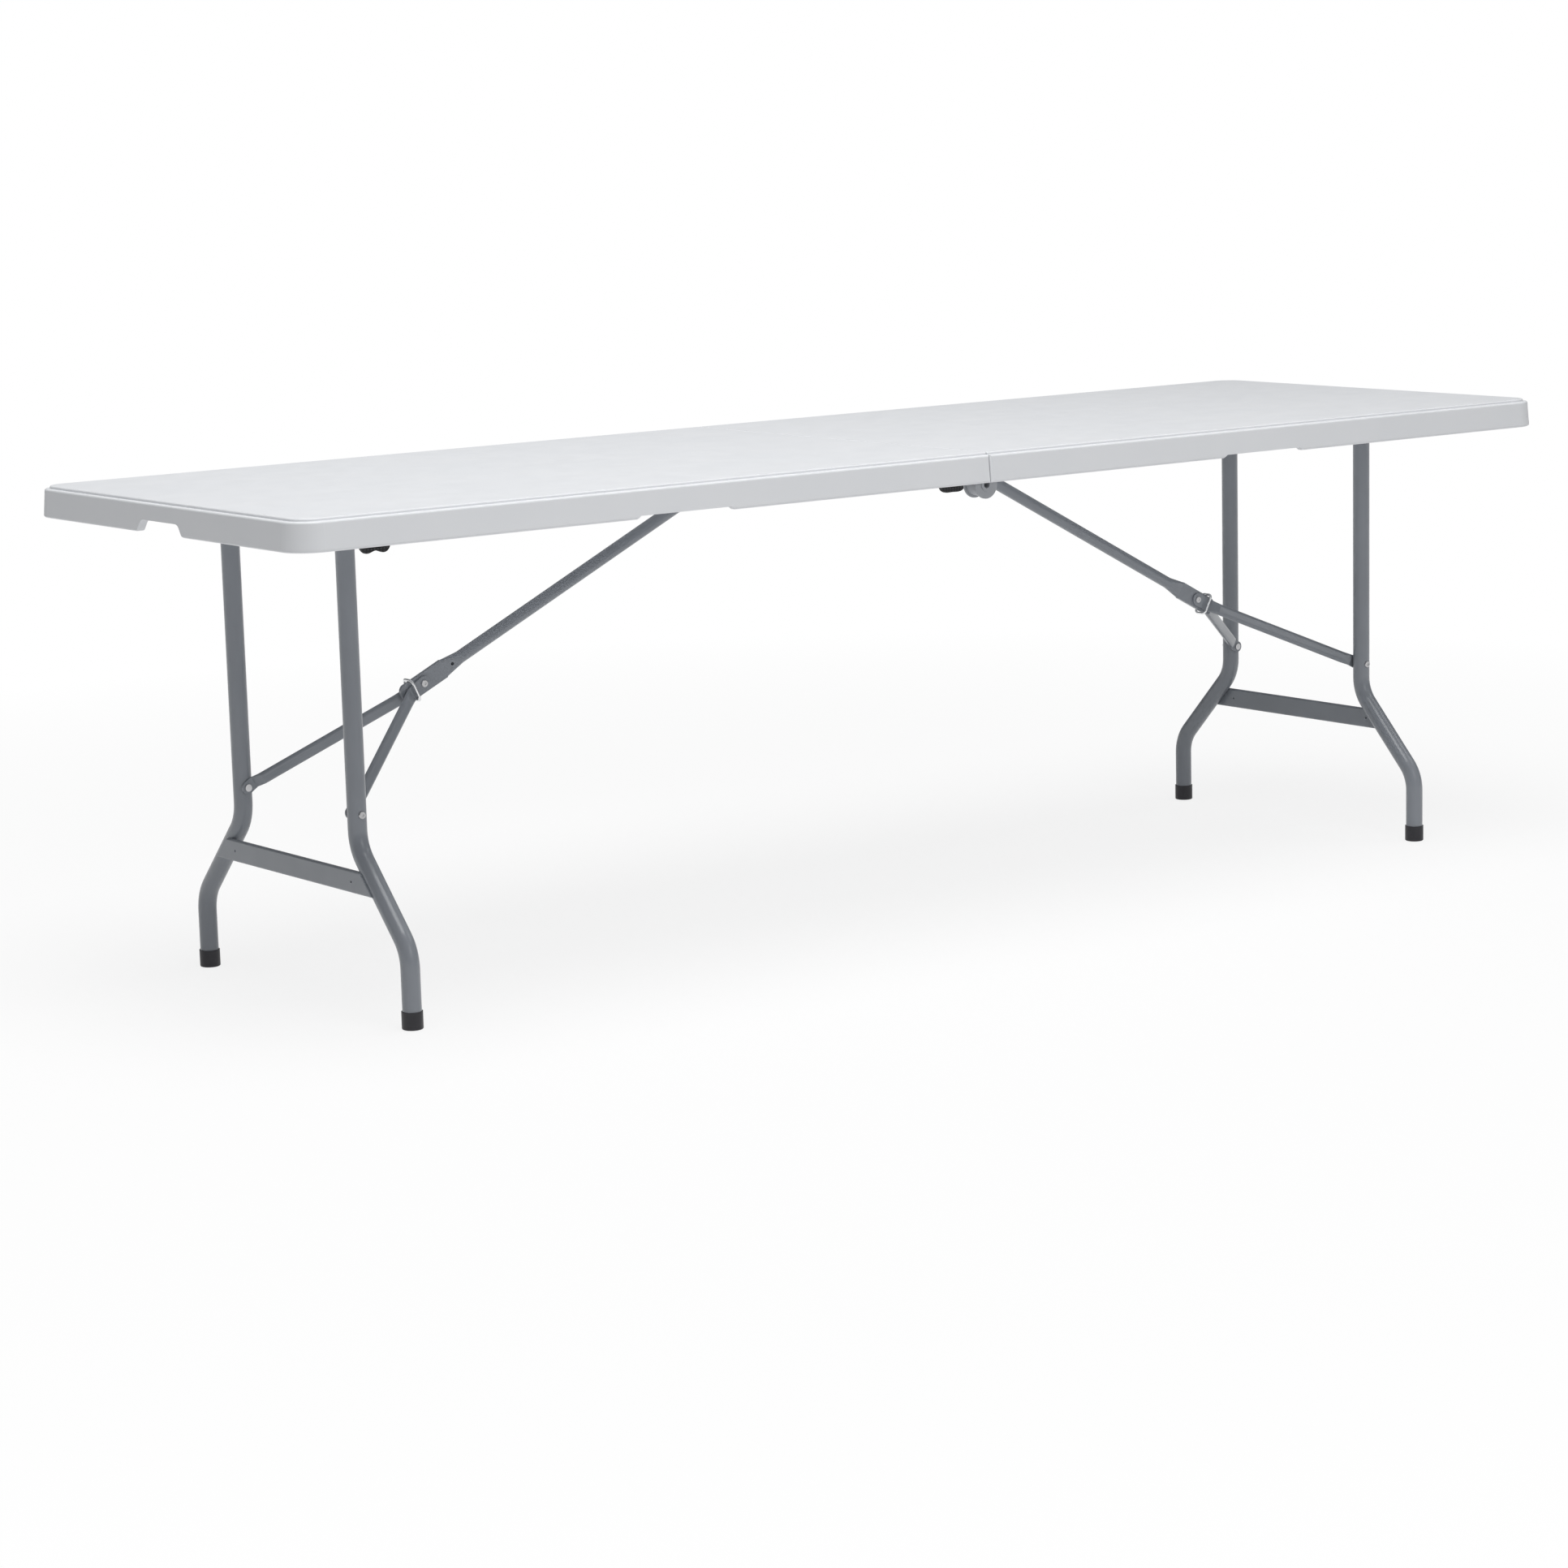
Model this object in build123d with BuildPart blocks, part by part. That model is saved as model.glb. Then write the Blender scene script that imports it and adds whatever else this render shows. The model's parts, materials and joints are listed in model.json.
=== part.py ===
"""Fold-in-half banquet table: moulded plastic top in two halves on folding steel legs.

Frame: millimetres, +Z up, +X along the length, +Y to the back, origin on the floor
under the middle of the top. Left is -X, right is +X, front is -Y.
"""
import os
from math import atan, degrees, sqrt

from build123d import *

os.makedirs("parts", exist_ok=True)

# Overall size
HALF_LENGTH = 1214.3
HALF_WIDTH = 381.3
HEIGHT = 745.0

# Moulded top
RIM_BOTTOM = 699.0
LEDGE_HEIGHT = 741.0
DECK_BOTTOM = 732.0
RIM_WIDTH = 12.0
RIM_LEAN = 3.5
END_RIM = 14.0
SEAM_WALL = 10.0
SEAM_GAP = 1.5
CORNER_RADIUS = 44.0
LEDGE_WIDTH = 11.0
EDGE_ROUND = 3.5
STEP_ROUND = 2.5
SEAM_ROUND = 1.2
SEAM_BEVEL = 2.4
CHANNEL_X = (150.0, 920.0)
CHANNEL_HALF = 22.0
CHANNEL_TOP = 737.0
DIMPLE_X = (75.0, 1155.0)
DIMPLE_COLUMNS = 13
DIMPLE_Y = (62.0, 141.0, 220.0, 299.0)
DIMPLE_RADIUS = 25.0
DIMPLE_DEPTH = 4.0
DIMPLE_TAPER = 35.0
END_NOTCH_HALF = (75.0, 45.0)
END_NOTCH_DEPTH = 18.0
SIDE_NOTCH_X = 570.0
SIDE_NOTCH_HALF = (87.0, 80.0)
SIDE_NOTCH_DEPTH = 5.0
POCKET_X = 30.0
POCKET_Y = (336.0, 371.0)

# Centre hinge
HINGE_HEIGHT = 695.5
EAR_RADIUS = 21.5
EAR_THICK = 2.5
EAR_TAIL = 120.0
EAR_TAIL_TALL = 22.0
KNUCKLE_RADIUS = 18.0
KNUCKLE_PLAY = 0.5
HINGE_PIN_RADIUS = 7.5
HINGE_PIN_BORE = 5.5
HINGE_FLANGE_RADIUS = 10.0
HINGE_FLANGE_THICK = 1.3
HINGE_FLANGE_PLAY = 0.25

# Steel rails under the top
RAIL_Y = 353.75
RAIL_WIDTH = 24.0
RAIL_BOTTOM = 704.0
RAIL_START = 24.0
RAIL_END = 1062.0
RAIL_WALL = 1.5
PLUG_DEPTH = 15.0
PLUG_CAP = 2.0

# Legs
LEG_X = 1009.0
LEG_TOP_Y = 162.3
LEG_FOOT_Y = 288.3
LEG_RADIUS = 14.0
LEG_WALL = 1.5
LEG_BEND_HIGH = 245.0
LEG_BEND_LOW = 111.5
LEG_BEND_RADIUS = 62.0
PIVOT_HEIGHT = 716.0
PIVOT_RADIUS = 9.5
PIVOT_WALL = 1.3
PIVOT_HALF = 365.0
FOOT_RADIUS = 15.5
FOOT_HEIGHT = 26.0
FOOT_SOLE = 4.0
FOOT_ROUND = 2.0
CROSSBAR_HEIGHT = 197.0
CROSSBAR_TALL = 33.0
CROSSBAR_NEAR = 8.5
CROSSBAR_FAR = 16.5
CROSSBAR_SHORT = 4.0
CROSSBAR_HOLE_Y = 165.0
CROSSBAR_HOLE = 1.8

# Folding brace
BRACE_PIVOT_X = 190.0
BRACE_PIVOT_HEIGHT = 722.0
LEG_RIVET_HEIGHT = 293.0
BRACE_SLACK = {"left": 2.2, "right": 0.02}
KNEE_ABOVE = {"left": True, "right": False}
BRACE_RADIUS = 9.5
BRACE_FLAT = 6.0
EYE_WIDTH = 24.0
EYE_LENGTH = 30.0
EYE_TAPER = 40.0
TONGUE_WIDTH = 29.0
TONGUE_START = 42.0
TONGUE_TAPER = 32.0
TONGUE_TIP = 40.0
TONGUE_CORNER = 10.0
SPOT_RADIUS = 2.5
SPOT_FROM_KNEE = 56.0
ARM_FLAT = 3.0
ARM_BAR = (19.0, 12.0)
ARM_PLATE_WIDTH = 22.0
ARM_PLATE_LENGTH = 26.0
ARM_PLATE_TAPER = 16.0
ARM_EYE_WIDTH = 19.0
ARM_EYE_LENGTH = 13.0
ARM_EYE_TAPER = 10.0
ARM_PLAY = 0.2
PIN_RADIUS = 4.0
RIVET_HEAD_RADIUS = 5.5
RIVET_HEAD = 2.0
RIVET_DOME = 1.0
RIVET_DIMPLE_RADIUS = 2.2
RIVET_DIMPLE = 0.8
BRACKET_X = (165.0, 235.0)
BRACKET_HALF = 18.0
BRACKET_BASE = 2.0
BRACKET_EAR = (3.4, 5.9)
BRACKET_EAR_HALF = 9.0
SCREW_X = (172.0, 226.0)
SCREW_Y = 12.5
SCREW_RADIUS = 4.0
SCREW_SHANK = 2.0
SCREW_LENGTH = 6.0
RING_FROM_KNEE = 20.0
RING_WIRE = 2.0
RING_INNER = (15.2, 10.2)
RING_CORNER = 7.0

# Webbing carry handle on the back edge
HANDLE_Y = 367.2
HANDLE_TOP = 701.5
STRAP_OUT = 58.0
STRAP_WIDTH = 30.0
STRAP_THICK = 2.0
NECK_OUT = 34.0
NECK_DROP = 62.0
NECK_WIDTH = 14.0
GRIP_Y = (364.7, 376.7)
GRIP_LOW = 592.0
GRIP_WIDTH = 14.0
GRIP_HALF = 27.0
GRIP_ROUND = 9.0
NECK_FOLLOWS = 0.8
GRIP_SKEW = {"left": -64.0, "right": -27.0}
TAB_BOTTOM = 704.5
TAB_TOP = 728.0

# Running clearance of a pin in its hole
RUN = 0.05

SIDES = {"left": -1, "right": 1}
ROWS = {"front": -1, "back": 1}


def write(builder, name):
    builder.part.label = name
    export_step(builder.part, f"parts/{name}.step")


def across(y):
    """A plane facing the front (-Y) at the given y; its axes are X and Z."""
    return Plane.XZ.offset(-y)


def brace_points(side_name):
    """Brace pivot, knee and leg rivet of one half, with +X pointing outwards."""
    pivot = Vector(BRACE_PIVOT_X, 0, BRACE_PIVOT_HEIGHT)
    rivet = Vector(LEG_X, 0, LEG_RIVET_HEIGHT)
    folded_rivet = Vector(LEG_X - (PIVOT_HEIGHT - LEG_RIVET_HEIGHT), 0, PIVOT_HEIGHT)
    straight = (rivet - pivot).length
    total = straight + BRACE_SLACK[side_name]
    difference = (folded_rivet - pivot).length
    upper = (total + difference) / 2
    lower = (total - difference) / 2
    along = (upper**2 - lower**2 + straight**2) / (2 * straight)
    rise = sqrt(upper**2 - along**2)
    if not KNEE_ABOVE[side_name]:
        rise = -rise
    direction = (rivet - pivot).normalized()
    knee = pivot + direction * along + Vector(-direction.Z, 0, direction.X) * rise
    return pivot, knee, rivet, upper, lower


def bar_plane(start, end, side, distance, y=0.0):
    """A plane square to the bar from start to end, at a distance along it."""
    start = Vector(side * start.X, y, start.Z)
    end = Vector(side * end.X, y, end.Z)
    direction = (end - start).normalized()
    up = Vector(-side * direction.Z, 0, side * direction.X)
    return Plane(origin=start + direction * distance, x_dir=up, z_dir=direction)


def face_plane(start, end, side, y):
    """A plane facing the front at y, with start as its origin and x along the bar."""
    start = Vector(side * start.X, y, start.Z)
    end = Vector(side * end.X, y, end.Z)
    return Plane(origin=start, x_dir=(end - start).normalized(), z_dir=Vector(0, -1, 0))


def top_half(name, side):
    """One moulded half of the top: rim, ledge, raised field and hollow underside."""
    seam = SEAM_GAP / 2
    outer_end = -1 if side > 0 else 0
    rim_tall = LEDGE_HEIGHT - RIM_BOTTOM
    spare = 4 * RIM_LEAN
    with BuildPart() as panel:
        with BuildSketch(Plane.XY.offset(RIM_BOTTOM)) as skirt:
            with Locations((side * (HALF_LENGTH - spare) / 2, 0)):
                Rectangle(HALF_LENGTH + spare, 2 * HALF_WIDTH)
            fillet(skirt.vertices().group_by(Axis.X)[outer_end], CORNER_RADIUS)
        extrude(amount=rim_tall, taper=degrees(atan(RIM_LEAN / rim_tall)))
        with BuildSketch(Plane.XY.offset(RIM_BOTTOM - 1)):
            with Locations((side * (seam - spare), 0)):
                Rectangle(2 * spare, 2 * HALF_WIDTH + 2)
        extrude(amount=rim_tall + 2, mode=Mode.SUBTRACT)
        for level in (-1, 0):
            edges = panel.edges().group_by(Axis.Z)[level]
            fillet([e for e in edges if abs(e.center().X) > seam + 1], EDGE_ROUND)
        field_end = HALF_LENGTH - LEDGE_WIDTH
        with BuildSketch(Plane.XY.offset(LEDGE_HEIGHT)) as field:
            with Locations((side * (seam + field_end) / 2, 0)):
                Rectangle(field_end - seam, 2 * (HALF_WIDTH - LEDGE_WIDTH))
            fillet(field.vertices().group_by(Axis.X)[outer_end], CORNER_RADIUS - LEDGE_WIDTH)
        extrude(amount=HEIGHT - LEDGE_HEIGHT)
        edges = panel.edges().group_by(Axis.Z)[-1]
        fillet([e for e in edges if abs(e.center().X) > seam + 1], STEP_ROUND)
        edges = panel.edges().group_by(Axis.Z)[-1]
        fillet([e for e in edges if abs(e.center().X) < seam + 1], SEAM_ROUND)
        hollow_end = HALF_LENGTH - END_RIM
        with BuildSketch(Plane.XY.offset(RIM_BOTTOM - 1)) as hollow:
            with Locations((side * (SEAM_WALL + hollow_end) / 2, 0)):
                Rectangle(hollow_end - SEAM_WALL, 2 * (HALF_WIDTH - RIM_WIDTH))
            fillet(hollow.vertices().group_by(Axis.X)[outer_end], CORNER_RADIUS - END_RIM)
        extrude(amount=DECK_BOTTOM - RIM_BOTTOM + 1, mode=Mode.SUBTRACT)
        with BuildSketch(Plane.XY.offset(DECK_BOTTOM - 1)):
            with Locations((side * sum(CHANNEL_X) / 2, 0)):
                RectangleRounded(CHANNEL_X[1] - CHANNEL_X[0], 2 * CHANNEL_HALF, 8)
        extrude(amount=CHANNEL_TOP - DECK_BOTTOM + 1, mode=Mode.SUBTRACT)
        pitch = (DIMPLE_X[1] - DIMPLE_X[0]) / (DIMPLE_COLUMNS - 1)
        with BuildSketch(Plane.XY.offset(DECK_BOTTOM)):
            for column in range(DIMPLE_COLUMNS):
                for y in DIMPLE_Y:
                    x = side * (DIMPLE_X[0] + column * pitch)
                    with Locations((x, y), (x, -y)):
                        Circle(DIMPLE_RADIUS)
        extrude(amount=DIMPLE_DEPTH, taper=DIMPLE_TAPER, mode=Mode.SUBTRACT)
        for row in ROWS.values():
            centre = side * SIDE_NOTCH_X
            wide, narrow = SIDE_NOTCH_HALF
            high = RIM_BOTTOM + SIDE_NOTCH_DEPTH
            slope = (wide - narrow) / SIDE_NOTCH_DEPTH
            mouth = wide + slope
            outer_y = HALF_WIDTH + 1 if row > 0 else -HALF_WIDTH + RIM_WIDTH + 1
            with BuildSketch(across(outer_y)):
                with BuildLine():
                    Polyline(
                        (centre - mouth, RIM_BOTTOM - 1),
                        (centre - narrow, high),
                        (centre + narrow, high),
                        (centre + mouth, RIM_BOTTOM - 1),
                        close=True,
                    )
                make_face()
            extrude(amount=RIM_WIDTH + 2, mode=Mode.SUBTRACT)
            with BuildSketch(Plane.XY.offset(RIM_BOTTOM - 1)):
                with Locations((side * POCKET_X / 2, row * sum(POCKET_Y) / 2)):
                    Rectangle(POCKET_X, POCKET_Y[1] - POCKET_Y[0])
            extrude(amount=DECK_BOTTOM - RIM_BOTTOM + 1, mode=Mode.SUBTRACT)
            for level, edge_y in ((RIM_BOTTOM, HALF_WIDTH), (LEDGE_HEIGHT, HALF_WIDTH - RIM_LEAN)):
                with BuildSketch(Plane.XY.offset(level)):
                    Polygon(
                        (side * seam, row * (edge_y + 1)),
                        (side * seam, row * (edge_y - SEAM_BEVEL)),
                        (side * (seam + SEAM_BEVEL + 1), row * (edge_y + 1)),
                        align=None,
                    )
            loft(mode=Mode.SUBTRACT)
        wide, narrow = END_NOTCH_HALF
        low = RIM_BOTTOM - 1
        high = RIM_BOTTOM + END_NOTCH_DEPTH
        near_x = HALF_LENGTH - END_RIM - 1 if side > 0 else -HALF_LENGTH - 1
        with BuildSketch(Plane.YZ.offset(near_x)):
            with BuildLine():
                Spline((wide, low), (narrow, high), tangents=[(-1, 0), (-1, 0)])
                Line((narrow, high), (-narrow, high))
                Spline((-narrow, high), (-wide, low), tangents=[(-1, 0), (-1, 0)])
                Line((-wide, low), (wide, low))
            make_face()
        extrude(amount=END_RIM + 2, mode=Mode.SUBTRACT)
    write(panel, name)


def rail(name, side, row):
    """Long box-section rail beside the rim, drilled for the leg pivot."""
    tall = DECK_BOTTOM - RAIL_BOTTOM
    with BuildPart() as bar:
        with BuildSketch(Plane.YZ.offset(RAIL_START if side > 0 else -RAIL_END)):
            with Locations((row * RAIL_Y, RAIL_BOTTOM + tall / 2)):
                RectangleRounded(RAIL_WIDTH, tall, 3)
                RectangleRounded(
                    RAIL_WIDTH - 2 * RAIL_WALL, tall - 2 * RAIL_WALL, 1.5, mode=Mode.SUBTRACT
                )
        extrude(amount=RAIL_END - RAIL_START)
        with BuildSketch(across(row * RAIL_Y + RAIL_WIDTH)):
            with Locations((side * LEG_X, PIVOT_HEIGHT)):
                Circle(PIVOT_RADIUS + RUN)
        extrude(amount=2 * RAIL_WIDTH, mode=Mode.SUBTRACT)
    write(bar, name)


def rail_plugs(name, side):
    """Plastic plugs in the outer ends of both rails."""
    tall = DECK_BOTTOM - RAIL_BOTTOM
    inset = 2 * RAIL_WALL + 0.2
    with BuildPart() as plugs:
        for row in ROWS.values():
            with BuildSketch(Plane.YZ.offset(RAIL_END if side > 0 else -RAIL_END - PLUG_CAP)):
                with Locations((row * RAIL_Y, RAIL_BOTTOM + tall / 2)):
                    RectangleRounded(RAIL_WIDTH, tall, 3)
            extrude(amount=PLUG_CAP)
            with BuildSketch(Plane.YZ.offset(RAIL_END - PLUG_DEPTH if side > 0 else -RAIL_END)):
                with Locations((row * RAIL_Y, RAIL_BOTTOM + tall / 2)):
                    RectangleRounded(RAIL_WIDTH - inset, tall - inset, 1.6)
            extrude(amount=PLUG_DEPTH)
    write(plugs, name)


def hinge_ears(name, row):
    """Two round-ended plates on the sides of a left rail."""
    with BuildPart() as ears:
        for step in (-1, 1):
            outer_y = row * RAIL_Y + step * (RAIL_WIDTH + EAR_THICK) / 2 + EAR_THICK / 2
            with BuildSketch(across(outer_y)):
                with Locations((0, HINGE_HEIGHT)):
                    Circle(EAR_RADIUS)
                with Locations((-EAR_TAIL / 2, RAIL_BOTTOM + EAR_TAIL_TALL / 2)):
                    Rectangle(EAR_TAIL, EAR_TAIL_TALL)
                with Locations((EAR_TAIL_TALL / 2, RAIL_BOTTOM + EAR_TAIL_TALL / 2)):
                    Rectangle(EAR_TAIL_TALL, EAR_TAIL_TALL, mode=Mode.SUBTRACT)
                with Locations((0, HINGE_HEIGHT)):
                    Circle(EAR_RADIUS)
                    Circle(HINGE_PIN_RADIUS + RUN, mode=Mode.SUBTRACT)
            extrude(amount=EAR_THICK)
    write(ears, name)


def hinge_knuckle(name, row):
    """Round barrel on the end of a right rail, held between the ears."""
    width = RAIL_WIDTH - 2 * KNUCKLE_PLAY
    block_top = HINGE_HEIGHT + KNUCKLE_RADIUS
    with BuildPart() as knuckle:
        with BuildSketch(across(row * RAIL_Y + width / 2)):
            with Locations((0, HINGE_HEIGHT)):
                Circle(KNUCKLE_RADIUS)
            with Locations((RAIL_START / 2, (RAIL_BOTTOM + block_top) / 2)):
                Rectangle(RAIL_START, block_top - RAIL_BOTTOM)
            with Locations((0, HINGE_HEIGHT)):
                Circle(HINGE_PIN_RADIUS + RUN, mode=Mode.SUBTRACT)
        extrude(amount=width)
    write(knuckle, name)


def hinge_pin(name, row):
    """Hollow flanged pin through ears and knuckle."""
    half = RAIL_WIDTH / 2 + EAR_THICK + HINGE_FLANGE_PLAY
    with BuildPart() as pin:
        for top, length, radius in (
            (half, 2 * half, HINGE_PIN_RADIUS),
            (half + HINGE_FLANGE_THICK, HINGE_FLANGE_THICK, HINGE_FLANGE_RADIUS),
            (-half, HINGE_FLANGE_THICK, HINGE_FLANGE_RADIUS),
        ):
            with BuildSketch(across(row * RAIL_Y + top)):
                with Locations((0, HINGE_HEIGHT)):
                    Circle(radius)
                    Circle(HINGE_PIN_BORE, mode=Mode.SUBTRACT)
            extrude(amount=length)
    write(pin, name)


def pivot_tube(name, side):
    """Cross tube of a leg set; its ends turn in the rails."""
    with BuildPart() as tube:
        with BuildSketch(across(PIVOT_HALF)):
            with Locations((side * LEG_X, PIVOT_HEIGHT)):
                Circle(PIVOT_RADIUS)
                Circle(PIVOT_RADIUS - PIVOT_WALL, mode=Mode.SUBTRACT)
        extrude(amount=2 * PIVOT_HALF)
    write(tube, name)


def leg_route(side, row):
    """Centre line of a leg, from the sole up to the pivot."""
    return FilletPolyline(
        (side * LEG_X, row * LEG_FOOT_Y, FOOT_SOLE),
        (side * LEG_X, row * LEG_FOOT_Y, LEG_BEND_LOW),
        (side * LEG_X, row * LEG_TOP_Y, LEG_BEND_HIGH),
        (side * LEG_X, row * LEG_TOP_Y, PIVOT_HEIGHT),
        radius=LEG_BEND_RADIUS,
    )


def leg(name, side, row):
    """Bent leg tube, cut for the pivot tube and the brace rivet."""
    with BuildPart() as tube:
        with BuildLine():
            leg_route(side, row)
        with BuildSketch(Plane.XY.offset(FOOT_SOLE)):
            with Locations((side * LEG_X, row * LEG_FOOT_Y)):
                Circle(LEG_RADIUS)
                Circle(LEG_RADIUS - LEG_WALL, mode=Mode.SUBTRACT)
        sweep()
        for radius, height in ((PIVOT_RADIUS, PIVOT_HEIGHT), (PIN_RADIUS, LEG_RIVET_HEIGHT)):
            with BuildSketch(across(row * LEG_TOP_Y + 2 * LEG_RADIUS)):
                with Locations((side * LEG_X, height)):
                    Circle(radius)
            extrude(amount=4 * LEG_RADIUS, mode=Mode.SUBTRACT)
    write(tube, name)


def leg_rivets(name, side):
    """Outer ends of the brace rivets: a head and the shank through each leg."""
    inner = LEG_TOP_Y - LEG_RADIUS
    outer = LEG_TOP_Y + LEG_RADIUS
    with BuildPart() as rivets:
        for row in ROWS.values():
            for low, high, radius in (
                (inner, outer, PIN_RADIUS),
                (outer, outer + RIVET_HEAD, RIVET_HEAD_RADIUS),
            ):
                with BuildSketch(across(max(row * low, row * high))):
                    with Locations((side * LEG_X, LEG_RIVET_HEIGHT)):
                        Circle(radius)
                extrude(amount=high - low)
        ends = rivets.faces().filter_by(Axis.Y).sort_by(Axis.Y)
        fillet(ends[0].edges() + ends[-1].edges(), RIVET_DOME)
        face = outer + RIVET_HEAD
        for top in (face, -face + RIVET_DIMPLE):
            with BuildSketch(across(top)):
                with Locations((side * LEG_X, LEG_RIVET_HEIGHT)):
                    Circle(RIVET_DIMPLE_RADIUS)
            extrude(amount=RIVET_DIMPLE, mode=Mode.SUBTRACT)
    write(rivets, name)


def crossbar(name, side):
    """Flat bar welded across the outer sides of the legs and cut to their round."""
    slope = (LEG_FOOT_Y - LEG_TOP_Y) / (LEG_BEND_HIGH - LEG_BEND_LOW)
    low = CROSSBAR_HEIGHT - CROSSBAR_TALL / 2
    high = CROSSBAR_HEIGHT + CROSSBAR_TALL / 2
    low_y = LEG_TOP_Y + (LEG_BEND_HIGH - low) * slope - CROSSBAR_SHORT
    high_y = LEG_TOP_Y + (LEG_BEND_HIGH - high) * slope - CROSSBAR_SHORT
    near_x = LEG_X + CROSSBAR_NEAR if side > 0 else -LEG_X - CROSSBAR_FAR
    with BuildPart() as bar:
        with BuildSketch(Plane.YZ.offset(near_x)):
            with BuildLine():
                Polyline((-low_y, low), (low_y, low), (high_y, high), (-high_y, high), close=True)
            make_face()
        extrude(amount=CROSSBAR_FAR - CROSSBAR_NEAR)
        fillet(bar.edges().filter_by(Axis.Y), 3.0)
        with BuildSketch(Plane.YZ.offset(near_x - 1)):
            for row in ROWS.values():
                with Locations((row * CROSSBAR_HOLE_Y, CROSSBAR_HEIGHT)):
                    Circle(CROSSBAR_HOLE)
        extrude(amount=CROSSBAR_FAR - CROSSBAR_NEAR + 2, mode=Mode.SUBTRACT)
        for row in ROWS.values():
            with BuildLine() as route:
                leg_route(side, row)
            with BuildSketch(Plane.XY.offset(FOOT_SOLE)) as section:
                with Locations((side * LEG_X, row * LEG_FOOT_Y)):
                    Circle(LEG_RADIUS)
            sweep(sections=section.sketch, path=route.wires()[0], mode=Mode.SUBTRACT)
    write(bar, name)


def foot(name, side, row):
    """Black cap pushed on the end of a leg."""
    with BuildPart() as cap:
        with BuildSketch():
            with Locations((side * LEG_X, row * LEG_FOOT_Y)):
                Circle(FOOT_RADIUS)
        extrude(amount=FOOT_HEIGHT)
        fillet(cap.edges().group_by(Axis.Z)[0], FOOT_ROUND)
        with BuildSketch(Plane.XY.offset(FOOT_SOLE)):
            with Locations((side * LEG_X, row * LEG_FOOT_Y)):
                Circle(LEG_RADIUS)
        extrude(amount=FOOT_HEIGHT, mode=Mode.SUBTRACT)
    write(cap, name)


def flat_section(width, thick):
    return RectangleRounded(width, thick, 0.48 * thick)


def round_section(radius):
    return RectangleRounded(2 * radius, 2 * radius, 0.97 * radius)


def upper_brace(name, side, points):
    """Round tube, flattened to an eye at the bracket and to a tongue at the knee."""
    pivot, knee, _, length, _ = points
    flat_start = length - TONGUE_START
    with BuildPart() as brace:
        with BuildSketch(bar_plane(pivot, knee, side, EYE_LENGTH)):
            flat_section(EYE_WIDTH, BRACE_FLAT)
        with BuildSketch(bar_plane(pivot, knee, side, EYE_LENGTH + EYE_TAPER)):
            round_section(BRACE_RADIUS)
        with BuildSketch(bar_plane(pivot, knee, side, flat_start - TONGUE_TAPER)):
            round_section(BRACE_RADIUS)
        with BuildSketch(bar_plane(pivot, knee, side, flat_start)):
            flat_section(TONGUE_WIDTH, BRACE_FLAT)
        loft(ruled=True)
        with BuildSketch(face_plane(pivot, knee, side, BRACE_FLAT / 2)):
            Circle(EYE_WIDTH / 2)
            with Locations((EYE_LENGTH / 2, 0)):
                Rectangle(EYE_LENGTH, EYE_WIDTH)
            with Locations(((flat_start + length + TONGUE_TIP) / 2, 0)):
                Rectangle(TONGUE_START + TONGUE_TIP, TONGUE_WIDTH)
        extrude(amount=BRACE_FLAT)
        tip = brace.edges().filter_by(Axis.Y).sort_by(Axis.X)
        fillet(tip[-2:] if side > 0 else tip[:2], TONGUE_CORNER)
        with BuildSketch(face_plane(pivot, knee, side, BRACE_FLAT)):
            for distance in (0.0, length):
                with Locations((distance, 0)):
                    Circle(PIN_RADIUS + RUN)
        extrude(amount=2 * BRACE_FLAT, mode=Mode.SUBTRACT)
        with BuildSketch(face_plane(pivot, knee, side, BRACE_RADIUS if side > 0 else 0.0)):
            with Locations((length - SPOT_FROM_KNEE, 0)):
                Circle(SPOT_RADIUS)
        extrude(amount=BRACE_RADIUS, mode=Mode.SUBTRACT)
    write(brace, name)


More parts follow.
